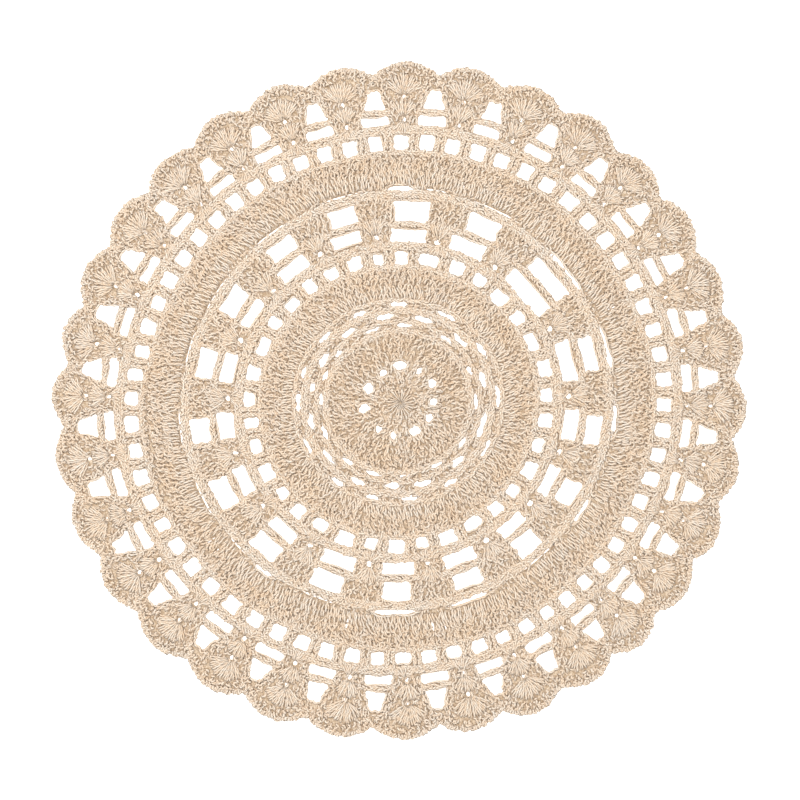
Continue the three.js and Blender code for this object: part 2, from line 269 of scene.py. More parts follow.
def oval_gap(middle, degrees, along, across):
    outward = unit(math.radians(degrees))
    sideways = np.array([-outward[1], outward[0]])
    turn = (np.arange(OVAL_SIDES) + 0.5) * 2 * math.pi / OVAL_SIDES
    wide = np.outer(np.cos(turn) * along / 2, sideways)
    high = np.outer(np.sin(turn) * across / 2, outward)
    return middle + wide + high


def ladder_gaps(posts, windows, post_wide):
    """The gaps of a ladder, one after each post, from the inner and outer radius of each."""
    following = [*posts[1:], posts[0] + 360]
    return [
        window_gap(radii, post, ahead, (post_wide, post_wide), LADDER_CORNER)
        for post, ahead, radii in zip(posts, following, windows)
    ]


# The posts of the inner ladder, and the radii of the window after each. A space's last lies under a fan.
SMALL_POSTS, SMALL_WINDOWS = [], []
for _, _, posts, shifts, *_ in SMALL_SPACES:
    SMALL_POSTS += posts
    SMALL_WINDOWS += [moved("small_ladder", shift) for shift in shifts]
    inner, outer = SMALL_WINDOWS[-1]
    SMALL_WINDOWS[-1] = (inner, outer - SMALL_FOOT)

# The posts of the outer ladder, beside each fan's foot, and the radii of the window after each.
LARGE_POSTS, LARGE_WINDOWS = [], []
for i in range(len(FANS)):
    after = (i + 1) % len(FANS)
    LARGE_POSTS += [(FANS[i] + space) / 2 + LADDER_TURNS[i] for space in (SPACES_BEFORE[i], SPACES[i])]
    LARGE_WINDOWS += [
        (LADDER_INNER[i], LADDER_OUTER[i] - LARGE_FOOT),
        ((LADDER_INNER[i] + LADDER_INNER[after]) / 2, (LADDER_OUTER[i] + LADDER_OUTER[after]) / 2),
    ]

# For each inner fan: from and to at its lower windows and at its upper ones, and its eye's radius.
SMALL_FANS = []
for here, following in zip(SMALL_SPACES, SMALL_SPACES[1:] + SMALL_SPACES[:1]):
    lap = 360 if following[0][0] < here[0][0] else 0
    eye = (here[4] + following[4]) / 2 + SMALL_EYE[0]
    SMALL_FANS.append((here[0][1], following[0][0] + lap, here[1][1], following[1][0] + lap, eye))

# A slit reaches no further than this from its middle along one axis, and a ladder's window in any direction.
SLIT_HALF = 2.4
LADDER_REACH = 5.9
# How far a gap's long sides bulge into it, in the fans' windows and in the others, and what a long side is.
WINDOW_BULGE = 0.5
SMALL_BULGE = 0.15
LONG_SIDE = 4
CORNER_VARIES = 0.3


def is_slit(gap):
    return np.abs(gap - gap.mean(axis=0)).max(axis=0).min() <= SLIT_HALF


def uneven(gap):
    """A gap whose long sides bulge into it halfway along, with all its points moved a little."""
    middle = gap.mean(axis=0)
    is_window = not is_slit(gap) and np.hypot(*(gap - middle).T).max() > LADDER_REACH
    bulge = WINDOW_BULGE if is_window else SMALL_BULGE
    points = []
    for here, ahead in zip(gap, np.roll(gap, -1, axis=0)):
        points.append(here)
        long = np.hypot(*(ahead - here))
        if long > LONG_SIDE:
            halfway = (here + ahead) / 2
            normal = np.array([here[1] - ahead[1], ahead[0] - here[0]]) / long
            points.append(halfway + bulge * normal * np.sign((middle - halfway) @ normal))
    return np.array(points) + rng.normal(0, CORNER_VARIES, (len(points), 2))


def sheet_gaps():
    """The openings that the CAD sheet has too."""
    gaps = []
    for at, radius, along, across in CENTRE_GAPS:
        gaps.append(oval_gap(radius * unit(math.radians(at)) - MIDDLE, at, along, across))
    for arch in ARCHES:
        for name, (start, end, shift) in zip(("inner_slits", "middle_slits", "outer_slits"), arch):
            gaps.append(slit_gap(start, end, *moved(name, shift)))
    gaps += ladder_gaps(SMALL_POSTS, SMALL_WINDOWS, SMALL_POST_WIDE)
    for lower, upper, _, _, base, bar, top in SMALL_SPACES:
        gaps.append(window_gap((base, bar - SMALL_BAR_WIDE / 2), *lower, (0, 0), WINDOW_CORNER))
        gaps.append(window_gap((bar + SMALL_BAR_WIDE / 2, top), *upper, (0, 0), WINDOW_CORNER))
    gaps += [slit_gap(*slit) for slit in LONG_SPANS]
    gaps += ladder_gaps(LARGE_POSTS, LARGE_WINDOWS, LARGE_POST_WIDE)
    for space, shift in zip(SPACES, SPACE_SHIFTS):
        for name, wides, lean in (("large_lower", LARGE_LOWER, 0), ("large_upper", LARGE_UPPER, UPPER_LEAN)):
            at = space - lean
            gaps.append(window_gap(moved(name, shift), at, at, -np.array(wides), WINDOW_CORNER))
    return gaps


SHEET_GAPS = [uneven(gap) for gap in sheet_gaps()]
GAPS = SHEET_GAPS.copy()
for lower_from, lower_to, _, _, eye in SMALL_FANS:
    middle = (lower_from + lower_to) / 2
    GAPS.append(oval_gap(place(eye, middle), middle, *SMALL_EYE[1:]))
for fan, shift in zip(FANS, SHIFTS):
    for radius, along, across in (LOWER_EYE, UPPER_EYE):
        GAPS.append(oval_gap(place(radius + shift, fan), fan, along, across))
NARROW_GAPS = [slit_gap(*slit) for slit in THIN_SPANS]
NARROW_GAPS += [oval_gap(place(radius, at), at, along, across) for at, radius, along, across in PARTINGS]


def grown(gap, margin):
    """A gap or the mat's edge, widened by a margin or narrowed by one below 0."""
    edge = np.roll(gap, -1, axis=0) - gap
    normal = np.stack([edge[:, 1], -edge[:, 0]], axis=-1) / np.hypot(*edge.T)[:, None]
    turning = (gap[:, 0] * np.roll(gap[:, 1], -1) - np.roll(gap[:, 0], -1) * gap[:, 1]).sum()
    bisector = normal + np.roll(normal, 1, axis=0)
    bisector /= np.hypot(*bisector.T)[:, None]
    return gap + bisector * margin * (1 if turning > 0 else -1)


# A point this near an edge lies on it.
ON_EDGE = 1e-6
# Beyond this radius a strand may have to be drawn inside the edge.
RIM_FROM = 172
# A strand that reaches this far into a narrow gap is dropped.
NARROW_DEEPEST = 0.15
MARGIN_VARIES = 0.25


def from_gap(points, gap):
    """Each point's distance from a gap's edge, below 0 inside it, and the direction away from the gap."""
    edge = np.roll(gap, -1, axis=0) - gap
    offset = points[:, None] - gap
    along = np.clip((offset * edge).sum(-1) / (edge * edge).sum(-1), 0, 1)
    away = offset - along[..., None] * edge
    distance = np.hypot(away[..., 0], away[..., 1])
    nearest = distance.argmin(axis=1)
    rows = np.arange(len(points))
    crosses = (offset[..., 1] < 0) != (offset[..., 1] < edge[..., 1])
    slope = edge[:, 0] / np.where(edge[:, 1] == 0, SMALLEST, edge[:, 1])
    inside = (crosses & (offset[..., 0] < offset[..., 1] * slope)).sum(axis=1) % 2 == 1
    sign = np.where(inside, -1.0, 1.0)
    shortest = distance[rows, nearest]
    direction = away[rows, nearest] * (sign / np.maximum(shortest, ON_EDGE))[:, None]
    return shortest * sign, direction


def near_gap(points, gap, reach):
    """The numbers of the points that lie less than this far outside the box round a gap."""
    low, high = gap.min(axis=0) - reach, gap.max(axis=0) + reach
    return np.flatnonzero(((points > low) & (points < high)).all(axis=1))


def keep_clear(paths, margin, deepest):
    """Bends strands round the gaps and inside the edge, and drops those that would have to cross a gap."""
    count, steps = paths.shape[:2]
    points = paths.reshape(-1, 3).copy()
    kept = np.ones(count, bool)
    margins = np.repeat(margin + jitter(MARGIN_VARIES, count), steps)
    reach = max(0, margins.max())
    limits = [deepest] * len(GAPS) + [NARROW_DEEPEST] * len(NARROW_GAPS)
    for gap, limit in zip(GAPS + NARROW_GAPS, limits):
        near = near_gap(points[:, :2], gap, reach)
        if not len(near):
            continue
        distance, direction = from_gap(points[near, :2], gap)
        wanted = margins[near]
        short = distance < wanted
        points[near[short], :2] += direction[short] * (wanted - distance)[short, None]
        kept[near[distance < -limit] // steps] = False
    outer = np.flatnonzero(np.hypot(points[:, 0], points[:, 1]) > RIM_FROM)
    if len(outer):
        distance, direction = from_gap(points[outer, :2], OUTLINE - MIDDLE)
        over = distance > -margins[outer]
        points[outer[over], :2] -= direction[over] * (distance + margins[outer])[over, None]
    return points.reshape(count, steps, 3)[kept], kept


# How much a strand's thickness changes, from strand to strand and from step to step, and how much its shade.
STRAND_VARIES = 0.07
STEP_VARIES = 0.09
SHADE_VARIES = 0.17
# The thickness of a strand's two ends, as a share, and how far into its yarn's twist it may start.
END_SHARE = 0.55
LATEST_START = 50


def smooth(keys, steps):
    """A smooth line through the rows of a table, as this many points."""
    keys = np.asarray(keys, float)
    padded = np.vstack([2 * keys[0] - keys[1], keys, 2 * keys[-1] - keys[-2]])
    at = np.linspace(0, len(keys) - 1, steps)
    leg = np.minimum(at.astype(int), len(keys) - 2)
    t = (at - leg)[:, None]
    a, b, c, d = (padded[leg + i] for i in range(4))
    return 0.5 * (2 * b + (c - a) * t + (2 * a - 5 * b + 4 * c - d) * t**2 + (3 * b - a - 3 * c + d) * t**3)


def of_length_one(vectors):
    return vectors / np.maximum(np.linalg.norm(vectors, axis=-1, keepdims=True), SMALLEST)


def tube_corners(paths, thick):
    """The corners of each strand's rings, one ring at each step, thinner at both ends."""
    ahead = of_length_one(np.gradient(paths, axis=1))
    side = of_length_one(np.cross(ahead, (0.0, 0.0, 1.0)))
    over = np.cross(side, ahead)
    turn = math.pi / 6 + np.arange(TUBE_SIDES) * 2 * math.pi / TUBE_SIDES
    across = TUBE_WIDE * np.cos(turn)[:, None] * side[:, :, None]
    ring = across + np.sin(turn)[:, None] * over[:, :, None]
    fat = thick.copy()
    fat[:, [0, -1]] *= END_SHARE
    return (paths[:, :, None] + fat[:, :, None, None] * ring).reshape(-1, 3)


def tube_faces(count, steps, made):
    """The sides and both ends of each strand's tube, whose corners come after those made so far."""
    first = made + np.arange(count)[:, None, None] * steps * TUBE_SIDES
    step = first + np.arange(steps - 1)[None, :, None] * TUBE_SIDES
    here = np.arange(TUBE_SIDES)
    after = (here + 1) % TUBE_SIDES
    corners = (step + here, step + TUBE_SIDES + here, step + TUBE_SIDES + after, step + after)
    start = first[:, 0] + here
    end = first[:, 0] + (steps - 1) * TUBE_SIDES + here[::-1]
    return np.stack(corners, axis=-1).reshape(-1, 4), np.concatenate([start, end])


def tube_uvs(paths):
    """How far along its strand each corner is and what share of the way round, for the sides and the ends."""
    count, steps = paths.shape[:2]
    lengths = np.linalg.norm(np.diff(paths, axis=1), axis=-1)
    run = np.concatenate([np.zeros((count, 1)), np.cumsum(lengths, axis=1)], axis=1)
    run += rng.uniform(0, LATEST_START, (count, 1))
    shape = (count, steps - 1, TUBE_SIDES)
    u0 = np.broadcast_to(run[:, :-1, None], shape)
    u1 = np.broadcast_to(run[:, 1:, None], shape)
    v0 = np.broadcast_to(np.arange(TUBE_SIDES) / TUBE_SIDES, shape)
    v1 = v0 + 1 / TUBE_SIDES
    sides = np.stack([u0, v0, u1, v0, u1, v1, u0, v1], axis=-1).reshape(-1, 2)
    ends = np.stack([run[:, [0, -1]].T, np.full((2, count), 0.5)], axis=-1)
    return sides, np.repeat(ends, TUBE_SIDES, axis=1).reshape(-1, 2)


class Round:
    """The strands of one part of the mat, gathered for one mesh."""

    def __init__(self, name):
        self.name = name
        self.batches = []

    def add(self, paths, thick=YARN, margin=-0.1, deepest=1.0, tint=0.0):
        """Strands as an array of strand, step and x, y, z, with their radii. They keep this margin from gaps,
        and go if they are deeper in one than the deepest. The tint makes them lighter or darker."""
        paths, kept = keep_clear(paths, margin, deepest)
        count, steps = paths.shape[:2]
        thick = np.broadcast_to(thick, (len(kept), steps))[kept] * rng.normal(1, STRAND_VARIES, (count, 1))
        thick = thick * rng.normal(1, STEP_VARIES, (count, steps))
        shade = np.clip(rng.normal(0.5 + tint, SHADE_VARIES, count), 0, 1)
        if count:
            self.batches.append((paths, thick, shade))

    def build(self, material):
        tubes, made = [], 0
        for paths, thick, shade in self.batches:
            count, steps = paths.shape[:2]
            faces = tube_faces(count, steps, made)
            shades = np.repeat(shade, steps * TUBE_SIDES)
            tubes.append((tube_corners(paths, thick), *faces, *tube_uvs(paths), shades))
            made += len(shades)
        corners, quads, caps, uvs, cap_uvs, shades = (np.concatenate(group) for group in zip(*tubes))
        mesh = mesh_of(self.name, corners * MM, quads, caps)
        layer = mesh.uv_layers.new(name="Yarn")
        layer.data.foreach_set("uv", np.concatenate([uvs, cap_uvs]).astype(np.float32).ravel())
        shade = mesh.attributes.new("shade", "FLOAT", "POINT")
        shade.data.foreach_set("value", shades.astype(np.float32))
        mesh.materials.append(material)
        return add_object(self.name, mesh)


def add_object(name, data):
    """A new object of the scene, from a mesh, a light or a camera."""
    added = bpy.data.objects.new(name, data)
    bpy.context.scene.collection.objects.link(added)
    return added


def mesh_of(name, corners, quads, caps):
    """A smooth mesh from its corners, four-sided faces and capping faces."""
    mesh = bpy.data.meshes.new(name)
    mesh.vertices.add(len(corners))
    mesh.vertices.foreach_set("co", corners.astype(np.float32).ravel())
    mesh.loops.add(quads.size + caps.size)
    mesh.loops.foreach_set("vertex_index", np.concatenate([quads.ravel(), caps.ravel()]).astype(np.int32))
    mesh.polygons.add(len(quads) + len(caps))
    starts = np.concatenate([
        np.arange(len(quads)) * quads.shape[1],
        quads.size + np.arange(len(caps)) * caps.shape[1],
    ])
    mesh.polygons.foreach_set("loop_start", starts.astype(np.int32))
    mesh.update(calc_edges=True)
    mesh.shade_smooth()
    return mesh


# Shapes of a single strand: across the stitch, along it, and height, each in parts of the stitch's size.
POST = [(-0.5, 0.0, 0.3), (-0.45, 0.25, 0.85), (-0.25, 0.5, 1.0), (0.2, 0.78, 0.95), (0.5, 1.0, 0.4)]
HOOK = [(0.15, 0.0, 0.0), (-0.3, 0.28, 0.8), (-0.35, 0.68, 1.0), (0.05, 1.0, 0.9), (0.5, 0.86, 0.3)]
LEG = [(0.5, 0.0, 0.2), (0.52, 0.3, 0.9), (0.2, 0.68, 1.0), (-0.3, 1.0, 0.3)]
LOOP = [(0.1, -0.05, 0.05), (0.34, 0.2, 0.85), (0.5, 0.55, 1.0), (0.36, 0.88, 0.75), (0.0, 1.0, 0.6),
        (-0.36, 0.88, 0.75), (-0.5, 0.55, 1.0), (-0.34, 0.2, 0.85), (-0.1, -0.05, 0.05)]

LOW = 0.9
HIGH = 2.15
WAVE_LONG = 5.5


def stitches(shape, steps, origins, headings, wide, long, low, high, mirror=1.0, wave=0.0):
    """Strands of one shape, each at its own place, with its length along its own heading in radians."""
    count = len(origins)
    line = smooth(shape, steps)
    sizes = (wide, long, low, high, mirror)
    wide, long, low, high, mirror = (np.broadcast_to(size, count)[:, None] for size in sizes)
    along = line[:, 1] * long
    phase = rng.uniform(0, 2 * math.pi, (count, 1))
    across = line[:, 0] * wide * mirror + wave * np.sin(along * 2 * math.pi / WAVE_LONG + phase)
    forward = unit(headings)[:, None]
    sideways = np.stack([-forward[..., 1], forward[..., 0]], axis=-1)
    flat = origins[:, None] + across[..., None] * sideways + along[..., None] * forward
    height = low + (high - low) * line[:, 2]
    return np.concatenate([flat, height[..., None]], axis=-1)


def heights(count, low=LOW, high=HIGH, varies=0.16):
    """The lowest and the highest point of each strand."""
    return low + jitter(0.1, count), high + jitter(varies, count)


def radius_at(radius, degrees):
    """A radius at these directions, from a number or a function of the direction."""
    return radius(degrees) if callable(radius) else radius


def around(radius, count, ragged, start=0.0, end=360.0):
    """Stitches on a round: places, and headings outward."""
    pitch = (end - start) / count
    degrees = start + (np.arange(count) + 0.5) * pitch + jitter(ragged * pitch, count)
    return place(radius_at(radius, degrees), degrees), np.radians(degrees)


# The heading of a line is measured from this far before a place on it to this far after.
HEADING_REACH = 0.4


def along_line(points, pitch):
    """Places and headings at an even pitch along a line of points."""
    run = np.concatenate([[0], np.cumsum(np.hypot(*np.diff(points, axis=0).T))])
    count = max(2, round(run[-1] / pitch))
    at = (np.arange(count) + 0.5) * run[-1] / count
    here, ahead, back = (
        np.stack([np.interp(where, run, column) for column in points.T], axis=-1)
        for where in (at, at + HEADING_REACH, at - HEADING_REACH)
    )
    return here, np.arctan2(*(ahead - back).T[::-1])


def closed(points):
    return np.vstack([points, points[:1]])


def arc(radius, start, end):
    return place(radius, np.linspace(start, end, max(8, round(end - start))))


def ring_line(radius, step):
    degrees = np.arange(0, 361, 1.5)
    return place(radius_at(radius, degrees) + step, degrees)


def local(radius, degrees, across):
    """The point at a radius and this far to the side, in mm, of a direction."""
    return place(radius, degrees + span(across, radius))


def curls(target, origins, headings, long=2.9, wide=1.6, turn=0.5, high=HIGH, deepest=0.5, tint=0.0):
    """Short hooked strands, turned and mirrored at random."""
    count = len(origins)
    target.add(stitches(
        HOOK, 5, origins + jitter(0.2, (count, 2)), headings + jitter(turn, count),
        wide + jitter(0.3, count), long + jitter(0.4, count), *heights(count, high=high),
        rng.choice([-1.0, 1.0], count),
    ), deepest=deepest, tint=tint)


def curl_round(target, radius, pitch, start=0.0, end=360.0, **settings):
    """Curls on a round, or on a stretch of one."""
    length = math.radians(end - start) * radius_at(radius, start)
    curls(target, *around(radius, max(1, round(length / pitch)), 0.25, start, end), **settings)


def curl_line(target, line, pitch, across=-math.pi / 2, **settings):
    """Curls along a line, turned this far from its own heading."""
    origins, headings = along_line(line, pitch)
    curls(target, origins, headings + across, **settings)


def drift(headings):
    """How far the stitches of a band lean to one side, which changes slowly along the round."""
    return 0.2 * np.sin(3 * headings + 1.0) + 0.16 * np.sin(8 * headings + 2.5) + 0.1 * np.sin(17 * headings)


# A chain wanders to both sides of its line over this length.
WANDER_LONG = 9.0


def braid(target, line, wide=1.7, pitch=1.75, long=3.1, tint=0.1, deepest=1.0, wander=0.25):
    """Chain stitches along a line: legs from both its sides in turn, each crossing to the other side."""
    origins, headings = along_line(line, pitch)
    count = len(origins)
    swing = np.sin(np.arange(count) * pitch * 2 * math.pi / WANDER_LONG + rng.uniform(0, 2 * math.pi))
    origins = origins + (wander * swing)[:, None] * unit(headings + math.pi / 2)
    for side in (-1.0, 1.0):
        turned = headings + jitter(0.16, count)
        back = 0.5 * long - side * pitch / 4
        target.add(stitches(
            LEG, 5, origins - back * unit(turned) + jitter(0.14, (count, 2)), turned,
            wide + jitter(0.2, count), long + jitter(0.3, count), *heights(count, LOW + 0.1), side,
        ), margin=-0.15, deepest=deepest, tint=tint)


# A band's posts stand this far apart, and these shares of them lean to one side and to the other. Then its
# hooks' pitch, and the last rows of curls: how far inside the outer edge, and their turn.
POST_PITCH = 1.5
POST_SIDES = (0.15, 0.85)
HOOK_PITCH = 1.65
BAND_EDGE_ROWS = ((4.8, 0.7), (3.4, 0.9))


def band(target, edge_target, inner, outer, posts, hooks):
    """A solid band: rows of fine posts from its inner edge, each with its length, rows of leaning hooks over
    them, and a chain along its outer edge."""
    begin = radius_at(inner, 0)
    for out, long in posts:
        count = round(2 * math.pi * (begin + out + 2) / POST_PITCH)
        origins, headings = around(inner, count, 0.16)
        origins = origins + (out + rng.normal(0, 0.3, (count, 1))) * unit(headings)
        turned = headings + 0.8 * drift(headings) + jitter(0.09, count)
        target.add(stitches(
            POST, 6, origins, turned, 1.0 + jitter(0.35, count), long + jitter(0.7, count),
            *heights(count, varies=0.15), rng.choice([-1.0, 1.0], count, p=POST_SIDES),
        ), YARN * 0.93, deepest=1.2, tint=0.07)
    for out in hooks:
        count = round(2 * math.pi * (begin + out + 1) / HOOK_PITCH)
        origins, headings = around(begin + out, count, 0.25)
        turned = headings + 1.6 * drift(headings)
        curls(edge_target, origins, turned, long=3.7, wide=1.9, turn=0.34, tint=-0.2)
    for back, turn in BAND_EDGE_ROWS:
        curl_round(edge_target, lambda degrees: radius_at(outer, degrees) - back, 1.85, turn=turn, tint=-0.1)
    braid(edge_target, ring_line(outer, -1.5), 1.6, 1.9, 3.2, tint=0.05, wander=0.2)


# The strands of a shell begin this far from its foot.
SHELL_START = 1.8


def shell(target, foot, degrees, strands, spread, reach, side_reach, inward=False, steps=9, high=HIGH):
    """Strands that spread from a foot at a radius, up to this many degrees to each side, and reach this far
    in the middle and at the sides."""
    share = np.linspace(-1, 1, strands) + jitter(0.22 / strands, strands)
    headings = np.radians(degrees + spread * share + (180 if inward else 0))
    origins = place(foot, degrees) + (SHELL_START + jitter(0.2, (strands, 1))) * unit(headings)
    long = side_reach + (reach - side_reach) * np.cos(share * math.pi / 2)
    long = long - SHELL_START + jitter(0.4, strands)
    thick = YARN * np.clip(np.linspace(0.6, 1.4, steps), 0, 0.96)
    target.add(stitches(
        POST, steps, origins, headings + jitter(0.02, strands), jitter(0.4, strands), long,
        *heights(strands, LOW + 0.5, high + 0.1, 0.12), wave=0.1,
    ), thick, tint=-0.02)


def ladder_post(target, post, *radii):
    """A post of the ladders: two braids side by side that part a little at its head and foot."""
    bend = jitter(0.35, 1)[0]
    for side in (-1.0, 1.0):
        line = local(np.array(radii), post, np.array([1.7 * side, 1.25 * side + bend, 1.8 * side]))
        braid(target, smooth(line, 9), 1.5, 1.8, 2.9)


def sides_of(rows, middle, side):
    """The side line of a fan: rows of radius and distance from its middle line, on one side of it."""
    radii, halves = np.transpose(rows)
    return local(radii, middle, side * halves)


EDGE_STEPS = 24
# How far an edge strand lies outside a slit, and outside any other gap.
SLIT_EDGE_OUT = 1.0
EDGE_OUT = 0.55


def edging(target, gaps):
    """A strand round each gap, just outside it, that rises and sinks on its way."""
    paths = []
    for gap in gaps:
        ring = grown(gap, SLIT_EDGE_OUT if is_slit(gap) else EDGE_OUT)
        line = smooth(closed(ring), EDGE_STEPS) + jitter(0.14, (EDGE_STEPS, 2))
        swing = np.sin(np.linspace(0, 8 * math.pi, EDGE_STEPS) + rng.uniform(0, 2 * math.pi))
        paths.append(np.column_stack([line, 1.5 + 0.35 * swing]))
    target.add(np.array(paths), tint=0.2)


# The middles of all the slits under the wide band: direction and radius.
SLITS = np.array(sorted(
    ((start + end) / 2, (inner + outer) / 2) for start, end, inner, outer in THIN_SPANS + LONG_SPANS
))


def slit_line(degrees):
    return np.interp(degrees, *SLITS.T, period=360)


def along_fans(values):
    """A value that changes smoothly from one outer fan to the next, for any direction."""
    return lambda degrees: np.interp(degrees, FANS, values, period=360)


chain_radius = along_fans((LADDER_OUTER + ROUNDS["large_lower"][0] + SHIFTS) / 2 - 0.1)
ladder_inner = along_fans(LADDER_INNER)

# The rosette, the ring of gaps round it and the first band: spokes, then rows of curls at these radii.
SPOKES = 24
SPOKE_STEPS = 8
ROSETTE_ROWS = (7.0, 8.8, 10.6, 12.0)
GAP_ROWS = (13.4, 15.8, 18.2, 20.6)
centre = Round("yarn_centre")
spokes, spoke_headings = around(0.6, SPOKES, 0.08)
spoke_lengths = 7.2 + jitter(0.3, SPOKES)
centre.add(
    stitches(POST, SPOKE_STEPS, spokes, spoke_headings, 0.4, spoke_lengths, 1.3, 2.3 + jitter(0.12, SPOKES)),
    np.linspace(0.14, 0.58, SPOKE_STEPS), tint=0.1,
)
for radius in ROSETTE_ROWS:
    curl_round(centre, radius, 1.6, long=2.6, turn=0.8, high=1.9, tint=-0.05)
for radius in GAP_ROWS:
    curl_round(centre, radius, 1.6, long=3.6, wide=1.5, turn=0.4, tint=0.1)
band(centre, centre, 22.6, 40.4, posts=(), hooks=(0.4, 2.8, 5.2, 7.6, 10.0))

# Three rounds of chain arches with slits between them: the radii of their curls and of their chains.
ARCH_ROWS = (41.6, 43.0, 46.4, 47.8, 49.2, 52.8, 54.0, 55.4)
ARCH_CHAINS = (40.0, 44.6, 50.2, 51.9, 56.6)
arches = Round("yarn_arches")
for radius in ARCH_ROWS:
    curl_round(arches, radius, 2.0, turn=1.0, high=1.8, deepest=0.25)
for radius in ARCH_CHAINS:
    braid(arches, arc(radius, 0, 360), 1.5, long=3.4, tint=0.04, deepest=0.6, wander=0.4)

# The second band.
inner_band = Round("yarn_inner_band")
band(
    inner_band, inner_band, 57.0, 76.6,
    posts=((0.0, 4.8), (2.8, 4.8)), hooks=(5.4, 7.4, 9.4, 11.4, 13.2),
)

# The ladder, the chain round and the inner fans, with chain bars between them. Halfway up, the windows beside
# a fan are at these radii.
LOWER_MIDDLE = 94
UPPER_MIDDLE = 108
inner_fans = Round("yarn_inner_fans")
for post in SMALL_POSTS:
    ladder_post(inner_fans, post, 75.6, 80.2, 85.2)
curl_round(inner_fans, 83.6, 1.9, turn=1.0)
for radius in (85.6, 87.8):
    braid(inner_fans, arc(radius, 0, 360))
for lower_from, lower_to, upper_from, upper_to, eye in SMALL_FANS:
    middle = (lower_from + lower_to) / 2
    low_half = math.radians((lower_to - lower_from) / 2) * LOWER_MIDDLE
    high_half = math.radians((upper_to - upper_from) / 2) * UPPER_MIDDLE
    for row in np.arange(88.6, 100, 2.2):
        half = span(low_half - 0.5, row)
        curl_round(inner_fans, row, 2.0, middle - half, middle + half, turn=0.7, high=1.7)
    shell(inner_fans, eye, middle, 8, 40, 7.6, 8.4, inward=True, steps=7)
    shell(inner_fans, eye, middle, 11, 38, 11.0, 11.0)
    for row in np.arange(99.0, 114, 2.3):
        wider = (high_half - low_half) * (row - LOWER_MIDDLE) / (UPPER_MIDDLE - LOWER_MIDDLE)
        half = span(low_half + wider + 0.2, row)
        curl_round(inner_fans, row, 1.9, middle - half, middle + half, long=3.4, wide=1.8, turn=0.45)
    rows = [(89.0, low_half - 0.9), (96.0, low_half - 0.7)]
    rows += [(104.0, high_half - 0.9), (112.0, high_half - 0.4)]
    for side in (-1, 1):
        curl_line(inner_fans, smooth(sides_of(rows, middle, side), 12), 1.8, 0.0, turn=0.5)
for (lower_from, lower_to), _, _, _, _, bar, _ in SMALL_SPACES:
    braid(inner_fans, arc(bar, lower_from - 1.5, lower_to + 1.5), 1.9, wander=0.4)

# The chain that hangs under the wide band.
inner_fan_rim = Round("yarn_inner_fan_rim")
for radius in (111.4, 113.2):
    curl_round(inner_fan_rim, radius, 2.2, turn=1.0, high=1.8, deepest=0.3)
curl_round(inner_fan_rim, lambda degrees: slit_line(degrees) - 0.6, 1.9, turn=1.0, high=1.8, deepest=0.3)
braid(inner_fan_rim, ring_line(slit_line, -1.7), tint=0.28)
braid(inner_fan_rim, ring_line(slit_line, -4.0))

# The wide band. Its posts begin at this radius, or this far outside a slit.
WIDE_START = 118.2
SLIT_CLEAR = 0.4
wide_posts = Round("yarn_wide_posts")
wide_band = Round("yarn_wide_band")


def band_start(degrees):
    start = np.full(np.shape(degrees), WIDE_START)
    for slit_from, slit_to, _, outer in THIN_SPANS + LONG_SPANS:
        under = (degrees % 360 > slit_from) & (degrees % 360 < slit_to)
        start = np.where(under, outer + SLIT_CLEAR, start)
    return start


band(
    wide_posts, wide_band, band_start, ladder_inner,
    posts=((0.0, 6.4), (3.8, 5.2)), hooks=(6.8, 8.6, 10.4, 12.2, 14.0),
)

# The outer ladder and its chain round.
outer_ladder = Round("yarn_outer_ladder")
for post in LARGE_POSTS:
    foot = float(ladder_inner(post))
    head = float(chain_radius(post))
    ladder_post(outer_ladder, post, foot - 0.8, (foot + head) / 2, head - 1.6)
for step in (-1.15, 1.15):
    braid(outer_ladder, ring_line(chain_radius, step))

# The outer fans: a foot and two shells one over the other, with chain bars between them. Rows of curls under
# the shells, and the lines of a fan's sides: the radius, and the distance from the fan's middle line.
FAN_ROWS = (
    (152.8, 6.4), (155.6, 6.7), (158.4, 7.2), (161.2, 8.2), (164.0, 9.4),
    (166.8, 10.5), (169.6, 11.7), (172.2, 12.8), (174.6, 15.6), (176.6, 16.5),
)
FAN_SIDES = ((153.0, 6.3), (159.5, 7.6), (167.0, 10.8), (175.0, 14.0))
SIDE_STEPS = (0.0, 2.1)
BAR_RADIUS = 160.25
# The fans and bars up to this direction are one piece, and the rest another.
NEAR_UP_TO = 175
near_fans = Round("yarn_near_fans")
far_fans = Round("yarn_far_fans")
for fan, shift in zip(FANS, SHIFTS):
    fans = near_fans if fan < NEAR_UP_TO else far_fans
    for radius, across in FAN_ROWS:
        row = radius + shift
        half = span(across, row)
        curl_round(fans, row, 2.3, fan - half, fan + half, turn=0.6, high=1.7)
    shell(fans, 156.0 + shift, fan, 8, 40, 8.2, 9.0, inward=True, steps=7)
    shell(fans, 156.0 + shift, fan, 13, 40, 11.2, 10.4, steps=8, high=HIGH + 0.15)
    shell(fans, 168.4 + shift, fan, 18, 60, 13.0, 11.8, high=HIGH + 0.1)
    for side in (-1, 1):
        for step in SIDE_STEPS:
            rows = [(radius + shift, across - step) for radius, across in FAN_SIDES]
            curl_line(fans, smooth(sides_of(rows, fan, side), 16), 1.9, 0.0, turn=0.5)
for space, shift in zip(SPACES, SPACE_SHIFTS):
    fans = near_fans if space < NEAR_UP_TO else far_fans
    half = span(LARGE_LOWER[0] / 2 + 1.4, 160.3)
    braid(fans, arc(BAR_RADIUS + shift, space - half, space + half), wander=0.35)

# A strand round each opening of the sheet.
edgings = Round("yarn_edgings")
edging(edgings, SHEET_GAPS)

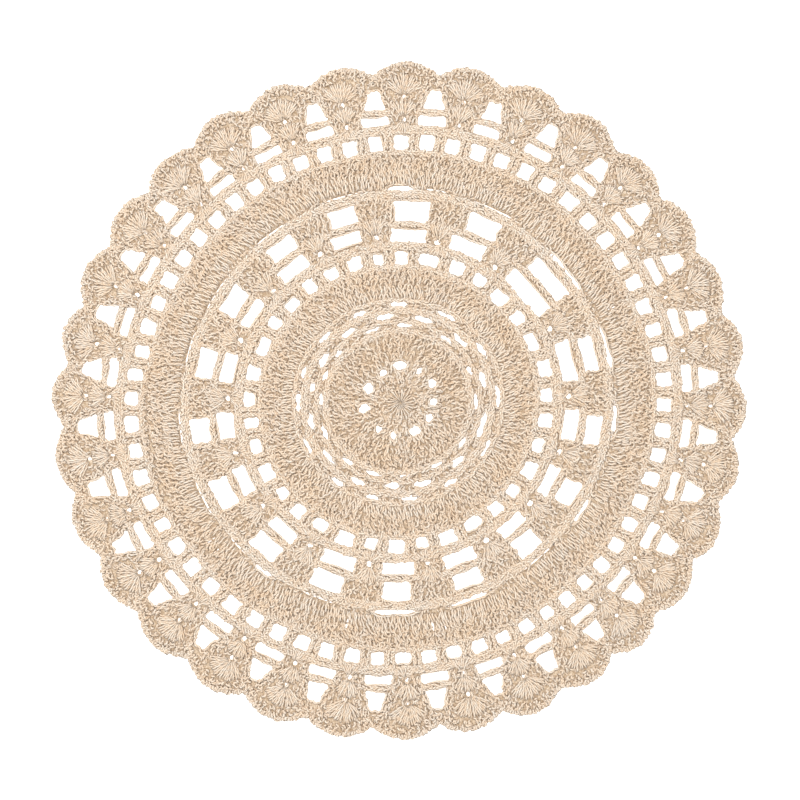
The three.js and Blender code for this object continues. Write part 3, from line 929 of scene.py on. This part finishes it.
# The rim of the scallops: rows of curls this far inside the edge, each with its turn, and a row of loops.
RIM_ROWS = ((2.6, 0.8), (4.4, 0.8), (6.2, 0.9))
LOOPS_INSIDE = 2.3
rim = Round("yarn_rim")
scallops = scallop_edge(np.linspace(-1, 1, 13)[:-1]) - MIDDLE
for inside, turn in RIM_ROWS:
    curl_line(rim, closed(grown(scallops, -inside)), 1.75, long=2.4, wide=1.5, turn=turn)
origins, headings = along_line(closed(grown(scallops, -LOOPS_INSIDE)), 2.0)
count = len(origins)
rim.add(stitches(
    LOOP, 8, origins, headings - math.pi / 2 + jitter(0.4, count), 1.8 + jitter(0.25, count),
    2.3 + jitter(0.45, count), *heights(count),
), margin=-0.2, deepest=0.6, tint=0.08)


# Materials.
def new_material(name):
    material = bpy.data.materials.new(name)
    material.use_nodes = True
    tree = material.node_tree
    return material, tree, tree.nodes["Principled BSDF"]


def set_inputs(node, values):
    for name, value in values.items():
        node.inputs[name].default_value = value


def ramp(tree, source, stops):
    node = tree.nodes.new("ShaderNodeValToRGB")
    while len(node.color_ramp.elements) < len(stops):
        node.color_ramp.elements.new(0.5)
    for element, (position, *colour) in zip(node.color_ramp.elements, stops):
        element.position = position
        element.color = (*colour, 1)
    tree.links.new(source, node.inputs["Fac"])
    return node.outputs["Color"]


def feed(tree, socket, value):
    """Sets a socket to a number, or links it to another node's output."""
    if isinstance(value, (int, float)):
        socket.default_value = value
    else:
        tree.links.new(value, socket)


def math_node(tree, operation, first, second=0.0):
    node = tree.nodes.new("ShaderNodeMath")
    node.operation = operation
    feed(tree, node.inputs[0], first)
    feed(tree, node.inputs[1], second)
    return node.outputs[0]


def mix_colour(tree, blend, factor, first, second):
    node = tree.nodes.new("ShaderNodeMix")
    node.data_type = "RGBA"
    node.blend_type = blend
    for i, value in ((0, factor), (6, first), (7, second)):
        feed(tree, node.inputs[i], value)
    return node.outputs[2]


def noise(tree, source, scale, detail, roughness=0.5):
    node = tree.nodes.new("ShaderNodeTexNoise")
    set_inputs(node, {"Scale": scale, "Detail": detail, "Roughness": roughness})
    tree.links.new(source, node.inputs["Vector"])
    return node.outputs["Fac"]


# The length of one turn of the yarn's twist, its number of plies, and how fine its fibres are.
TWIST_LONG = 3.4
PLIES = 2
FIBRE_SCALE = 2600
WHITE = (1.0, 1.0, 1.0)


def add_bump(tree, shader, height, strength, distance):
    bump = tree.nodes.new("ShaderNodeBump")
    set_inputs(bump, {"Strength": strength, "Distance": distance * MM})
    tree.links.new(height, bump.inputs["Height"])
    tree.links.new(bump.outputs["Normal"], shader.inputs["Normal"])


def yarn_material():
    """Natural cotton yarn: twisted plies and fine fibres, each strand a little lighter or darker, with
    painted shade in the grooves of its plies and along the edges of each strand's top.
    """
    material, tree, shader = new_material("cotton_yarn")
    position = tree.nodes.new("ShaderNodeTexCoord").outputs["Object"]
    uv = tree.nodes.new("ShaderNodeUVMap")
    uv.uv_map = "Yarn"
    split = tree.nodes.new("ShaderNodeSeparateXYZ")
    tree.links.new(uv.outputs["UV"], split.inputs[0])
    turns = math_node(tree, "MULTIPLY", split.outputs[0], 2 * math.pi / TWIST_LONG)
    wound = math_node(tree, "MULTIPLY", split.outputs[1], 2 * math.pi * PLIES)
    phase = math_node(tree, "ADD", turns, wound)
    ply = math_node(tree, "MULTIPLY", math_node(tree, "ADD", math_node(tree, "SINE", phase), 1.0), 0.5)
    # Painted shade: each strand's top face darkens towards both its edges, as if in the shadow between
    # strands.
    from_top = math_node(tree, "SUBTRACT", split.outputs[1], 0.5 / TUBE_SIDES)
    off_middle = math_node(tree, "ABSOLUTE", from_top)
    off_middle = math_node(tree, "MULTIPLY", off_middle, 2.0 * TUBE_SIDES)
    sides = ramp(tree, off_middle, [(0.62, *WHITE), (1.0, 0.50, 0.33, 0.20)])
    fibres = noise(tree, position, FIBRE_SCALE, 3, 0.6)
    patches = noise(tree, position, 70, 2)
    shade = tree.nodes.new("ShaderNodeAttribute")
    shade.attribute_name = "shade"
    shades = [(0.0, 0.83, 0.63, 0.44), (0.5, 0.92, 0.785, 0.64), (1.0, 0.96, 0.88, 0.77)]
    base = ramp(tree, shade.outputs["Fac"], shades)
    hues = ramp(tree, patches, [(0.38, 0.95, 0.77, 0.58), (0.62, 0.89, 0.79, 0.68)])
    colour = mix_colour(tree, "MIX", 0.35, base, hues)
    # Painted shade: the yarn darker in the grooves between its plies.
    painted_groove_shade = ramp(tree, ply, [(0.0, 0.56, 0.43, 0.31), (0.3, *WHITE), (1.0, *WHITE)])
    colour = mix_colour(tree, "MULTIPLY", 0.6, colour, painted_groove_shade)
    # Painted shade along the edges of each strand's top.
    colour = mix_colour(tree, "MULTIPLY", 0.55, colour, sides)
    flecks = ramp(tree, fibres, [(0.3, 0.84, 0.78, 0.70), (0.55, *WHITE), (0.8, *WHITE)])
    colour = mix_colour(tree, "MULTIPLY", 0.7, colour, flecks)
    tree.links.new(colour, shader.inputs["Base Color"])
    rough = math_node(tree, "ADD", math_node(tree, "MULTIPLY", fibres, 0.3), 0.5)
    tree.links.new(rough, shader.inputs["Roughness"])
    set_inputs(shader, {"Specular IOR Level": 0.2, "Sheen Weight": 0.12, "Sheen Roughness": 0.5})
    coarse = math_node(tree, "MULTIPLY", ply, 0.8)
    relief = math_node(tree, "ADD", coarse, math_node(tree, "MULTIPLY", fibres, 0.35))
    add_bump(tree, shader, relief, strength=0.8, distance=0.25)
    return material


def painted_shade_ground_material():
    """Painted shade: the yarn deep between the strands, coloured darker as if in their shadow."""
    material, tree, shader = new_material("cotton_ground_painted_shade")
    position = tree.nodes.new("ShaderNodeTexCoord").outputs["Object"]
    lumps = noise(tree, position, 1100, 3, 0.6)
    fibres = noise(tree, position, FIBRE_SCALE, 3, 0.6)
    # Painted shade: dark browns for the yarn in the strands' shadow, with lighter lumps.
    colour = ramp(tree, lumps, [(0.38, 0.44, 0.31, 0.19), (0.52, 0.64, 0.49, 0.34), (0.66, 0.84, 0.70, 0.54)])
    tree.links.new(colour, shader.inputs["Base Color"])
    rough = math_node(tree, "ADD", math_node(tree, "MULTIPLY", fibres, 0.2), 0.7)
    tree.links.new(rough, shader.inputs["Roughness"])
    add_bump(tree, shader, lumps, strength=0.9, distance=0.5)
    return material


# The ground: a thin sheet with the gaps of the mat, drawn in a little from all its edges. Its dark colour is
# painted shade. A grid of points inside it, at least this far from its edges, keeps its triangles small.
GROUND_LOW = 0.15
GROUND_HIGH = 1.3
GROUND_MARGIN = 0.2
GROUND_GRID = 4.0
GRID_REACH = 190
GRID_CLEAR = 1.2
WELD = 1e-5


def in_ground(points, outline, holes, clear=0.0):
    """Which points lie inside the outline and outside all the holes, this far from them."""
    found = from_gap(points, outline)[0] < -clear
    for hole in holes:
        near = near_gap(points, hole, clear)
        found[near[from_gap(points[near], hole)[0] < clear]] = False
    return found


def ground_faces(outline, holes):
    """The points and triangles of the ground, seen from above."""
    corners, edges = [], []
    for ring in [outline, *holes]:
        first, size = len(corners), len(ring)
        corners += [Vector(point) for point in ring]
        edges += [(first + i, first + (i + 1) % size) for i in range(size)]
    reach = np.arange(-GRID_REACH, GRID_REACH, GROUND_GRID)
    grid = np.stack(np.meshgrid(reach, reach), axis=-1)
    grid[1::2, :, 0] += GROUND_GRID / 2
    grid = grid.reshape(-1, 2)
    corners += [Vector(point) for point in grid[in_ground(grid, outline, holes, GRID_CLEAR)]]
    points, _, faces, *_ = delaunay_2d_cdt(corners, edges, [], 0, WELD)
    points = np.array([tuple(point) for point in points])
    faces = np.array(faces)
    faces = faces[in_ground(points[faces].mean(axis=1), outline, holes)]
    used, faces = np.unique(faces, return_inverse=True)
    return points[used], faces.reshape(-1, 3)


def ground_sheet(material):
    """The ground and its area, in square metres."""
    holes = [grown(gap, GROUND_MARGIN) for gap in GAPS] + NARROW_GAPS
    points, faces = ground_faces(grown(OUTLINE - MIDDLE, -GROUND_MARGIN), holes)
    count = len(points)
    a, b, c = (points[faces[:, i]] for i in range(3))
    turned = (b[:, 0] - a[:, 0]) * (c[:, 1] - a[:, 1]) - (b[:, 1] - a[:, 1]) * (c[:, 0] - a[:, 0])
    faces[turned < 0] = faces[turned < 0][:, ::-1]
    sides = np.concatenate([faces[:, [0, 1]], faces[:, [1, 2]], faces[:, [2, 0]]])
    _, first_seen, times = np.unique(np.sort(sides, axis=1), axis=0, return_index=True, return_counts=True)
    border = sides[first_seen[times == 1]]
    layers = [np.column_stack([points, np.full(count, height)]) for height in (GROUND_HIGH, GROUND_LOW)]
    walls = np.concatenate([border + count, border[:, ::-1]], axis=1)
    triangles = np.concatenate([faces, faces[:, ::-1] + count])
    mesh = mesh_of("ground", np.concatenate(layers) * MM, walls, triangles)
    mesh.materials.append(material)
    return add_object("ground", mesh), abs(turned).sum() / 2 * MM * MM


yarn = yarn_material()
parts = [
    centre, arches, inner_band, inner_fans, inner_fan_rim, wide_posts, wide_band, outer_ladder, near_fans,
    far_fans, edgings, rim,
]
rounds = [part.build(yarn) for part in parts]
ground, ground_area = ground_sheet(painted_shade_ground_material())
for piece in [ground, *rounds]:
    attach(piece, "root")
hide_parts("mat")

# Floor, lights and camera.
HALF_FLOOR = 20.0


def floor_material():
    material, _, shader = new_material("studio_floor")
    set_inputs(shader, {"Base Color": (0.95, 0.95, 0.95, 1), "Roughness": 0.9})
    set_inputs(shader, {"Emission Color": (*WHITE, 1), "Emission Strength": 0.75})
    return material


floor_corners = [(x * HALF_FLOOR, y * HALF_FLOOR, 0) for x, y in ((-1, -1), (1, -1), (1, 1), (-1, 1))]
floor_mesh = bpy.data.meshes.new("studio_floor")
floor_mesh.from_pydata(floor_corners, [], [(0, 1, 2, 3)])
floor_mesh.materials.append(floor_material())
floor = add_object("studio_floor", floor_mesh)


def area_light(name, size, watts, location):
    """A square light that faces the middle of the mat."""
    light = bpy.data.lights.new(name, "AREA")
    light.size = size
    light.energy = watts
    lamp = add_object(name, light)
    lamp.location = location
    lamp.rotation_euler = (Vector((0, 0, 0)) - Vector(location)).to_track_quat("-Z", "Y").to_euler()


area_light("overhead", 1.6, 24.5, (0.0, 0.0, 1.8))
area_light("window", 0.35, 6.5, (-0.8, 1.0, 1.1))

world = bpy.data.worlds.new("studio")
world.use_nodes = True
set_inputs(world.node_tree.nodes["Background"], {"Color": (*WHITE, 1), "Strength": 0.6})
bpy.context.scene.world = world
bpy.context.scene.view_settings.view_transform = "Standard"

# Straight above the mat. The photograph is 800 pixels square, and these are the pixels from its left and its
# top edge to the mat's middle.
PHOTO_PIXEL = 0.549 * MM
PHOTO_SIZE = 800
MAT_MIDDLE = (399.0, 400.5)
LENS = 85.0
SENSOR = 36.0
camera = add_object("camera", bpy.data.cameras.new("camera"))
camera.data.lens = LENS
camera.data.sensor_width = SENSOR
right, down = ((PHOTO_SIZE / 2 - middle) * PHOTO_PIXEL for middle in MAT_MIDDLE)
camera.location = (right, -down, PHOTO_SIZE * PHOTO_PIXEL * LENS / SENSOR)
bpy.context.scene.camera = camera
